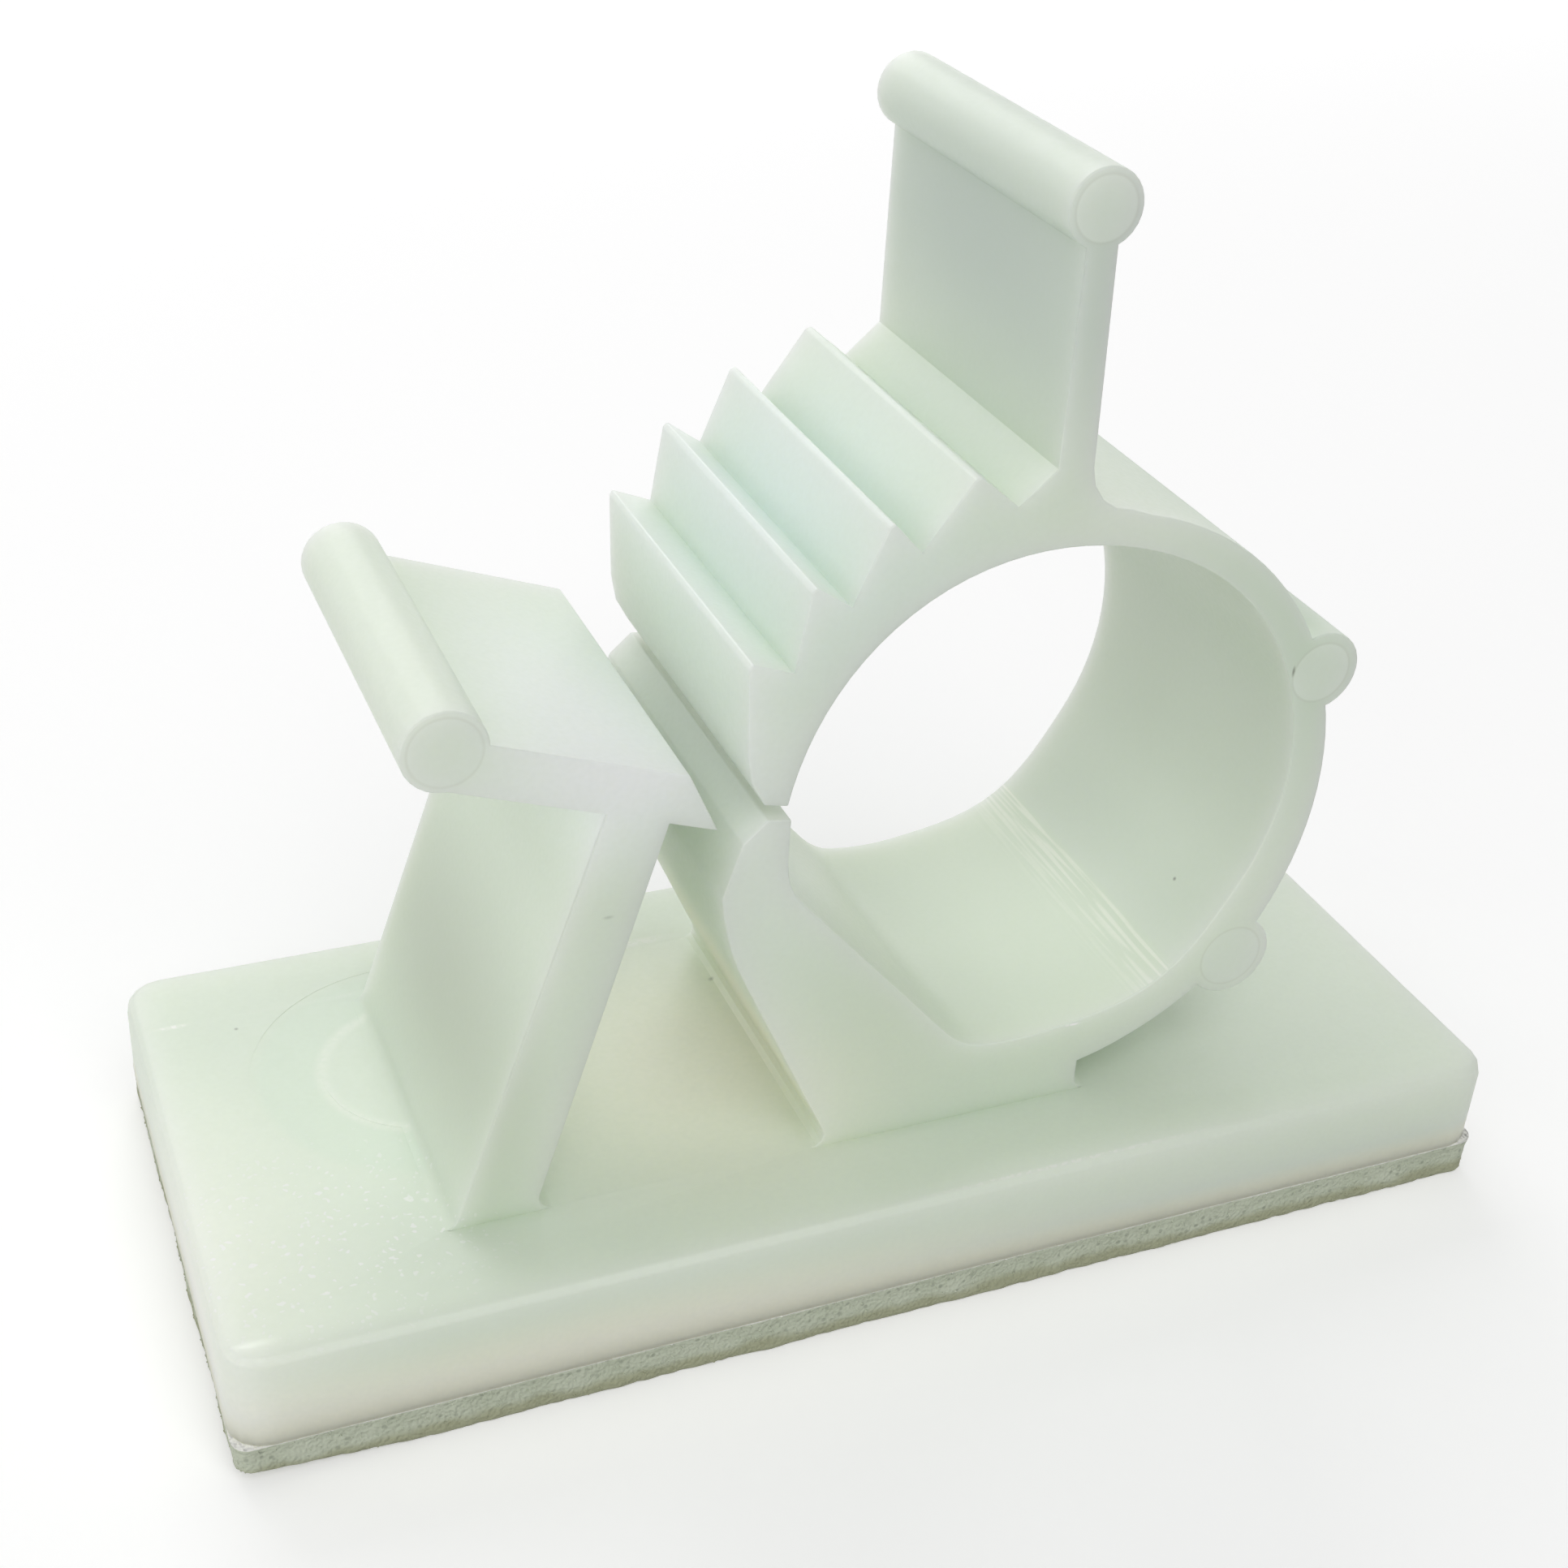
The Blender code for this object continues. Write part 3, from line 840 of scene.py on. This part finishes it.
# %% Painted light and shade on the nylon, zone by zone
# Each zone paints light or shade: a centre, three radii, the colour there and how strongly it
# shows.
nylon_light_and_shade_zones = {
    # Painted light, cream, filling the shade between the post and the foot.
    "painted light between post and foot": (
        (-0.0032, -0.0004, 0.0045), (0.0064, 0.0070, 0.0055), srgb(255, 254, 236), 0.98
    ),
    # Painted light on the foot of the ring and on the arm, lifting their shade.
    "painted light on foot and arm": (
        (-0.0026, 0.0, 0.0102), (0.0042, 0.0085, 0.0076), srgb(240, 250, 241), 0.8
    ),
    # Painted light, cool and pale, on the flanks of the teeth.
    "painted light on the teeth": (
        (-0.0020, 0.0, 0.0164), (0.0062, 0.0085, 0.0044), srgb(228, 242, 238), 0.8
    ),
    # Painted shade, grey, on the thin finger tab.
    "painted shade on the finger tab": (
        (0.0027, 0.0, 0.0214), (0.0042, 0.0130, 0.0048), srgb(188, 199, 192), 0.94
    ),
    # Painted shade, grey, on the right side of the ring.
    "painted shade on the ring's right side": (
        (0.0084, 0.0, 0.0144), (0.0062, 0.0120, 0.0082), srgb(190, 206, 188), 0.86
    ),
    "shaded left face of the post": (
        (-0.0088, 0.0, 0.0074), (0.0018, 0.0100, 0.0062), srgb(180, 190, 170), 0.84
    ),
    "shaded front of the foot": (
        (0.0018, -0.0046, 0.0078), (0.0070, 0.0018, 0.0052), srgb(196, 214, 186), 0.5
    ),
    # Painted light on the left end of the plate.
    "painted light on the left end": (
        (-0.0144, -0.0030, 0.0018), (0.0052, 0.0085, 0.0026), srgb(251, 255, 240), 0.95
    ),
    # Painted light, cool and pale, on the hook's plate and the front of its head.
    "painted light on the hook plate": (
        (-0.0060, -0.0034, 0.0132), (0.0044, 0.0100, 0.0032), srgb(246, 255, 248), 1.0
    ),
    # Painted light, cream, on the front face of the plate.
    "painted light on the plate's front": (
        (-0.0070, -0.0066, 0.0013), (0.0145, 0.0012, 0.0016), srgb(255, 254, 230), 0.9
    ),
}
painted_light_up_to = 0.0017


def nylon_base_colour(tree, here, cloud):
    """Cloudy milk white, then each zone's painted light or shade over it, then painted light,
    cream, just above the foam.
    """
    colour = tint(tree, srgb(221, 232, 216), cloud, srgb(227, 237, 221))
    for centre, radii, shade, strength in nylon_light_and_shade_zones.values():
        zone = use_group(tree, soft_zone, Vector=here, Centre=centre, Radii=radii)
        colour = tint(tree, colour, zone.outputs[0], shade, strength)
    # Painted light, cream, low on the plate just above the foam, where its lower edge goes dark.
    near_foam = ramp(tree, split(tree, here)["Z"], painted_light_up_to, foam_height)
    return tint(tree, colour, near_foam, srgb(255, 255, 214), 0.8)


print("zones on the nylon:", len(nylon_light_and_shade_zones))

# %% The shallow round mark beside the post
mark_edge_fade = 0.00035
mark_post_fade = 0.0003
mark_rim_width = 0.00024


def mark_masks(tree, here):
    """The greener floor of the mark, and its pale inner rim."""
    distance = vector_calc(tree, "DISTANCE", here, tuple(mark_centre))
    place = split(tree, here)
    beside_post = ramp(tree, place["X"], mark_centre.x, mark_centre.x - mark_post_fade)
    on_top = ramp(tree, place["Z"], base_top + 0.00008, base_top + 0.00003)
    here_only = both_of(tree, beside_post, on_top)
    inside = ramp(tree, distance, mark_outer_radius, mark_outer_radius - mark_edge_fade)
    inner_edge = mark_inner_radius - 0.00005
    outside = ramp(tree, distance, inner_edge, inner_edge + mark_edge_fade)
    ring_floor = both_of(tree, both_of(tree, inside, outside), here_only)
    off_inner = calc(tree, "ABSOLUTE", calc(tree, "SUBTRACT", distance, mark_inner_radius))
    rim = ramp(tree, off_inner, mark_rim_width, 0.0)
    return ring_floor, both_of(tree, rim, here_only)


# %% The hinge line inside the ring
hinge_line_angle = math.radians(-52)
inside_radius = 0.0062
streak_reach = 0.22
streaks_per_metre = 13000.0


def around_the_bore(tree, here):
    """The angle and the distance of the shaded point round the bore's axis."""
    offset = split(tree, vector_calc(tree, "SUBTRACT", here, tuple(bore_centre)))
    across = offset["X"]
    up = offset["Z"]
    across_squared = calc(tree, "MULTIPLY", across, across)
    distance = calc(tree, "SQRT", calc(tree, "MULTIPLY_ADD", up, up, across_squared))
    return calc(tree, "ARCTAN2", up, across), distance


def hinge_masks(tree, here):
    """The wall inside the ring and its part past the hinge line, both for painted shade, and
    pale streaks.
    """
    angle, distance = around_the_bore(tree, here)
    normal = split(tree, put(tree, "ShaderNodeNewGeometry").outputs["Normal"])
    faces_bore = ramp(tree, calc(tree, "ABSOLUTE", normal["Y"]), 0.5, 0.3)
    inside = ramp(tree, distance, inside_radius, inside_radius - 0.0001)
    inner_wall = both_of(tree, inside, faces_bore)
    past_line = ramp(tree, angle, hinge_line_angle - 0.01, hinge_line_angle + 0.03)
    below_top = ramp(tree, angle, 1.3, 0.5)
    shaded_wall_past_hinge = both_of(tree, inner_wall, both_of(tree, past_line, below_top))
    band = both_of(
        tree,
        ramp(tree, angle, hinge_line_angle - streak_reach, hinge_line_angle - 0.02),
        ramp(tree, angle, hinge_line_angle + 0.005, hinge_line_angle - 0.005),
    )
    stretch = put(tree, "ShaderNodeMapping")
    feed(tree, stretch.inputs["Vector"], here)
    feed(tree, stretch.inputs["Scale"], (1.0, 0.04, 1.0))
    lines = put(tree, "ShaderNodeTexNoise")
    feed(tree, lines.inputs["Vector"], stretch.outputs[0])
    feed(tree, lines.inputs["Scale"], streaks_per_metre)
    feed(tree, lines.inputs["Detail"], 0.0)
    streaks = ramp(tree, lines.outputs[0], 0.42, 0.68)
    return inner_wall, shaded_wall_past_hinge, both_of(tree, inner_wall, both_of(tree, band, streaks))


# %% Small marks, in the places where the photograph shows them
# Each mark is a centre, three radii and a strength; a line is a thin, stretched mark.
# The pale marks are painted highlights: along the real fine parting step at the back of the
# plate's top, along its rounded front top edge, and one small spot on the ring's front.
parting_step_and_highlight_marks = [
    ((-0.0075, 0.00428, 0.00313), (0.0066, 0.00014, 0.0003), 0.18),
    ((-0.0136, 0.00428, 0.00313), (0.0005, 0.00010, 0.0003), 0.9),
    ((-0.0028, 0.00420, 0.00313), (0.0014, 0.00024, 0.0003), 0.5),
    ((0.0033, -0.00618, 0.00310), (0.0054, 0.00007, 0.0002), 0.5),
    ((0.00442, -0.00405, 0.00498), (0.00030, 0.0003, 0.00005), 1.0),
]
dark_marks = [
    ((-0.00626, -0.00405, 0.01006), (0.00016, 0.0003, 0.00006), 0.25),
    ((0.00845, -0.00405, 0.01307), (0.00005, 0.0003, 0.00018), 0.75),
    ((0.00760, -0.00239, 0.00708), (0.00007, 0.00007, 0.00007), 0.7),
    ((-0.00155, 0.00224, 0.00316), (0.00010, 0.00010, 0.00010), 0.4),
    ((-0.01227, 0.00379, 0.00313), (0.00007, 0.00007, 0.00007), 0.5),
]


def all_marks(tree, here, marks):
    """One mask for a list of marks."""
    total = 0.0
    for centre, radii, strength in marks:
        spot = use_group(tree, soft_zone, Vector=here, Centre=centre, Radii=radii)
        total = calc(tree, "MULTIPLY_ADD", spot.outputs[0], strength, total)
    return total


def lay_marks(tree, here, colour, grain):
    """Draw the marks over a colour; the grain breaks up the pale ones, which are painted
    highlights.
    """
    broken = calc(tree, "MAXIMUM", ramp(tree, grain, 0.42, 0.58), 0.35)
    pale = both_of(tree, all_marks(tree, here, parting_step_and_highlight_marks), broken)
    colour = tint(tree, colour, pale, srgb(252, 253, 248))
    return tint(tree, colour, all_marks(tree, here, dark_marks), srgb(80, 83, 72))


print("marks on the nylon:", len(parting_step_and_highlight_marks), "pale and", len(dark_marks), "dark")

# %% Bead ends: where a round bead meets the flat side of the strap
bead_ends = {
    "hook": ((-0.00932, 0.0, 0.01420), 0.00070),
    "tab": ((0.00263, 0.0, 0.02308), 0.00062),
    "upper": ((0.00914, 0.0, 0.01294), 0.00068),
    "lower": ((0.00822, 0.0, 0.00597), 0.00074),
}
rim_line_width = 0.00005


def bead_end_masks(tree, here):
    """The disc of each bead end, a shade paler than the strap's side, and its thin rim."""
    flat = put(tree, "ShaderNodeVectorMath", operation="MULTIPLY")
    feed(tree, flat.inputs[0], here)
    feed(tree, flat.inputs[1], (1.0, 0.0, 1.0))
    nearest = 1.0
    for centre, radius in bead_ends.values():
        distance = vector_calc(tree, "DISTANCE", flat.outputs[0], centre)
        nearest = calc(tree, "MINIMUM", nearest, calc(tree, "SUBTRACT", distance, radius))
    disc = ramp(tree, nearest, 0.0, -rim_line_width)
    rim = ramp(tree, calc(tree, "ABSOLUTE", nearest), rim_line_width, 0.0)
    return disc, rim


print("bead ends:", list(bead_ends))

# %% Painted glints on the left of the plate, and its polished corner
glint_zone = {
    "Centre": (-0.0120, -0.0034, 0.00313), "Radii": (0.0052, 0.0040, 0.0010), "Core": 0.3
}
shiny_corner = {"Centre": (-0.01390, -0.00602, 0.00310), "Radii": (0.00090, 0.00034, 0.0003)}


def polish_masks(tree, here, grain):
    """Painted glints on the left of the plate, and its polished front left corner."""
    plate_left = use_group(tree, soft_zone, Vector=here, **glint_zone)
    corner = use_group(tree, soft_zone, Vector=here, **shiny_corner)
    peaks = ramp(tree, grain, 0.68, 0.80)
    return both_of(tree, peaks, plate_left.outputs[0]), corner.outputs[0]


# %% Mix the nylon
nylon_constants = {
    "IOR": 1.53,
    "Coat IOR": 2.1,
    "Coat Roughness": 0.12,
    "Subsurface Weight": 0.75,
    "Subsurface Radius": (1.0, 0.98, 0.86),
    "Subsurface Scale": 0.0019,
}


def make_nylon(material):
    """Milk white with its zones of painted light and shade, then the mark, painted shade in the
    ring, hinge streaks, bead ends, painted glints and small marks.
    """
    tree, shader, here = start_material(material)
    fine = use_group(tree, cloud_and_grain, Vector=here, Cloud_Size=0.0045, Grain_Size=0.00011)
    cloud = fine.outputs["Cloud"]
    grain = fine.outputs["Grain"]
    colour = nylon_base_colour(tree, here, cloud)
    ring_floor, inner_rim = mark_masks(tree, here)
    colour = tint(tree, colour, ring_floor, srgb(218, 234, 216), 0.4)
    colour = tint(tree, colour, both_of(tree, inner_rim, grain), srgb(252, 255, 246), 0.5)
    inner_wall, shaded_wall_past_hinge, streaks = hinge_masks(tree, here)
    # Painted shade on the wall inside the ring, darker past the hinge line.
    colour = tint(tree, colour, inner_wall, srgb(212, 221, 205), 0.6)
    colour = tint(tree, colour, shaded_wall_past_hinge, srgb(216, 224, 213), 0.85)
    colour = tint(tree, colour, streaks, srgb(246, 248, 238), 0.5)
    disc, rim = bead_end_masks(tree, here)
    colour = tint(tree, colour, disc, srgb(226, 235, 224), 0.5)
    colour = tint(tree, colour, rim, srgb(186, 190, 176), 0.2)
    painted_glints, corner = polish_masks(tree, here, grain)
    # Painted glints, white, on the left of the plate.
    colour = tint(tree, colour, painted_glints, srgb(255, 255, 255), 0.6)
    colour = lay_marks(tree, here, colour, grain)
    colour = tint(tree, colour, grain, srgb(205, 214, 198), 0.12)
    feed(tree, shader.inputs["Base Color"], colour)
    feed(tree, shader.inputs["Coat Weight"], calc(tree, "MULTIPLY", corner, 0.8))
    feed(tree, shader.inputs["Roughness"], calc(tree, "MULTIPLY_ADD", grain, 0.2, 0.33))
    for label, value in nylon_constants.items():
        shader.inputs[label].default_value = value
    print("nylon:", len(tree.nodes), "nodes")


make_nylon(nylon)

# %% [markdown]
# ## Grey foam
#
# The cut edge of the foam is matt and mottled: paler cell walls, darker open cells, and a
# darker, yellower band near the floor. Its top carries a white film of adhesive,
# which also throws the light in the nylon back up.

# %% Mix the foam
open_cells = {"Spacing": 0.00018, "Speck_Radius": 0.00007, "Share": 0.45}
darker_from = 0.00062
darker_full_at = 0.00034
foam_grain_height = 0.00005


def make_foam(material):
    """Mottled grey-green foam, darker and yellower near the floor, with a white film on top."""
    tree, shader, here = start_material(material)
    fine = use_group(tree, cloud_and_grain, Vector=here, Cloud_Size=0.0009, Grain_Size=0.00008)
    cloud = fine.outputs["Cloud"]
    cells = use_group(tree, sparse_specks, Vector=here, **open_cells)
    colour = tint(tree, srgb(190, 198, 176), cloud, srgb(210, 216, 198), 0.9)
    colour = tint(tree, colour, cells.outputs[0], srgb(150, 157, 140), 0.6)
    up = split(tree, here)["Z"]
    wavy = calc(tree, "MULTIPLY_ADD", cloud, 0.0003, up)
    near_floor = ramp(tree, wavy, darker_from, darker_full_at)
    colour = tint(tree, colour, near_floor, srgb(166, 168, 136), 0.8)
    film = ramp(tree, up, foam_top - 0.00003, foam_top - 0.00001)
    colour = tint(tree, colour, film, srgb(250, 250, 244), 1.0)
    feed(tree, shader.inputs["Base Color"], colour)
    feed(tree, shader.inputs["Roughness"], calc(tree, "MULTIPLY_ADD", cloud, 0.15, 0.8))
    bump = put(tree, "ShaderNodeBump")
    bump.inputs["Distance"].default_value = foam_grain_height
    feed(tree, bump.inputs["Height"], fine.outputs["Grain"])
    feed(tree, shader.inputs["Normal"], bump.outputs[0])
    print("foam:", len(tree.nodes), "nodes")


make_foam(foam)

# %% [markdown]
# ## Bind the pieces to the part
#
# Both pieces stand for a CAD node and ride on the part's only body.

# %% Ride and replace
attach(moulding, "root")
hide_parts("clamp_body")
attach(foam_strip, "root")
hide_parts("foam_pad")
print("pieces:", moulding.name, "and", foam_strip.name)

# %% [markdown]
# ## Floor, light and background
#
# A pale floor keeps the object's shadow. Away from the object it gets less light from the
# windows, so there it is lifted to white, but only for the camera and for reflections. The
# world is white to the same rays, and lights the object at a plain level.

# %% Floor
floor_half_size = 1.5
floor_gap = 0.00002
glow_from = 0.06
glow_full_at = 0.5


def only_seen_or_mirrored(tree):
    """1 for camera, glossy and transmission rays, 0 for the rays that light things."""
    rays = put(tree, "ShaderNodeLightPath").outputs
    seen = calc(tree, "MAXIMUM", rays["Is Camera Ray"], rays["Is Glossy Ray"])
    return calc(tree, "MAXIMUM", seen, rays["Is Transmission Ray"])


def make_floor():
    """A large pale sheet that fades to white away from the object."""
    shape = bmesh.new()
    bmesh.ops.create_grid(shape, x_segments=1, y_segments=1, size=floor_half_size)
    mesh = bpy.data.meshes.new("floor")
    shape.to_mesh(mesh)
    shape.free()
    mesh.transform(Matrix.Translation((0, 0, -floor_gap)))
    floor = bpy.data.objects.new("floor", mesh)
    bpy.context.scene.collection.objects.link(floor)
    material = bpy.data.materials.new("pale_floor")
    material.use_nodes = True
    tree = material.node_tree
    tree.nodes.clear()
    matt = put(tree, "ShaderNodeBsdfDiffuse")
    matt.inputs["Color"].default_value = (0.8, 0.8, 0.8, 1.0)
    coordinates = put(tree, "ShaderNodeTexCoord")
    away = vector_calc(tree, "LENGTH", coordinates.outputs["Object"])
    glow = put(tree, "ShaderNodeMapRange", interpolation_type="SMOOTHSTEP")
    feed(tree, glow.inputs["Value"], away)
    feed(tree, glow.inputs["From Min"], glow_from)
    feed(tree, glow.inputs["From Max"], glow_full_at)
    feed(tree, glow.inputs["To Min"], 0.35)
    feed(tree, glow.inputs["To Max"], 0.84)
    white = put(tree, "ShaderNodeEmission")
    white.inputs["Color"].default_value = (1.0, 1.0, 1.0, 1.0)
    lift = both_of(tree, only_seen_or_mirrored(tree), glow.outputs["Result"])
    feed(tree, white.inputs["Strength"], lift)
    both = put(tree, "ShaderNodeAddShader")
    tree.links.new(matt.outputs[0], both.inputs[0])
    tree.links.new(white.outputs[0], both.inputs[1])
    output = put(tree, "ShaderNodeOutputMaterial")
    tree.links.new(both.outputs[0], output.inputs["Surface"])
    mesh.materials.append(material)
    return floor


floor = make_floor()
print("floor reaches", floor_half_size, "m from the object")

# %% World
sky_light = 0.216

world = bpy.data.worlds.new("studio")
world.use_nodes = True
bpy.context.scene.world = world
sky = world.node_tree
sky.nodes.clear()
strength = put(sky, "ShaderNodeMapRange")
feed(sky, strength.inputs["Value"], only_seen_or_mirrored(sky))
feed(sky, strength.inputs["To Min"], sky_light)
feed(sky, strength.inputs["To Max"], 1.0)
background = put(sky, "ShaderNodeBackground")
background.inputs["Color"].default_value = (1.0, 1.0, 1.0, 1.0)
feed(sky, background.inputs["Strength"], strength.outputs["Result"])
world_output = put(sky, "ShaderNodeOutputWorld")
sky.links.new(background.outputs[0], world_output.inputs["Surface"])
print("sky light", sky_light)

# %% Lamps
# Each window is an azimuth and an elevation in degrees, and a power in watts.
windows = {
    "front_window": (0, 51, 0.41),
    "front_left_window": (-45, 21, 0.20),
    "left_window": (-85, 5, 0.25),
    "back_left_window": (-140, 24, 0.17),
    "back_window": (180, 38, 0.42),
    "back_right_window": (135, 20, 0.12),
}
lamp_aim = Vector((0.0, 0.0, 0.008))
lamp_distance = 0.35
lamp_size = 0.25


def soft_lamp(name, azimuth, elevation, power):
    """A square area lamp; azimuth 0 is in front of the object and 90 on its right."""
    turn = math.radians(azimuth)
    rise = math.radians(elevation)
    way = Vector(
        (math.sin(turn) * math.cos(rise), -math.cos(turn) * math.cos(rise), math.sin(rise))
    )
    lamp = bpy.data.lights.new(name, "AREA")
    lamp.size = lamp_size
    lamp.energy = power
    holder = bpy.data.objects.new(name, lamp)
    holder.location = lamp_aim + way * lamp_distance
    holder.rotation_euler = way.to_track_quat("Z", "Y").to_euler()
    bpy.context.scene.collection.objects.link(holder)


for name, (azimuth, elevation, power) in windows.items():
    soft_lamp(name, azimuth, elevation, power)
print("lamps:", len(windows))

# %% [markdown]
# ## Camera
#
# The camera stands where the photograph was taken from. Its place and turn were measured
# from the edges of the base plate, and its lens gives the same perspective.

# %% Camera
camera_place = Vector((-0.017719, -0.037487, 0.034597))
camera_turn = Vector((2.0953, -0.3780, 0.2863))
focal_length_pixels = 2789.7
photo_width_pixels = 1932
sensor_width = 36.0

to_camera = Matrix.Rotation(camera_turn.length, 3, camera_turn)
camera_data = bpy.data.cameras.new("photo_camera")
camera_data.sensor_width = sensor_width
camera_data.lens = sensor_width * focal_length_pixels / photo_width_pixels
camera_data.clip_start = 0.001
camera = bpy.data.objects.new("photo_camera", camera_data)
axes = Matrix((to_camera[0], -to_camera[1], -to_camera[2])).transposed()
camera.matrix_world = Matrix.Translation(camera_place) @ axes.to_4x4()
bpy.context.scene.collection.objects.link(camera)
bpy.context.scene.camera = camera
bpy.context.scene.view_settings.view_transform = "Standard"
print("camera lens", round(camera_data.lens, 2), "mm")
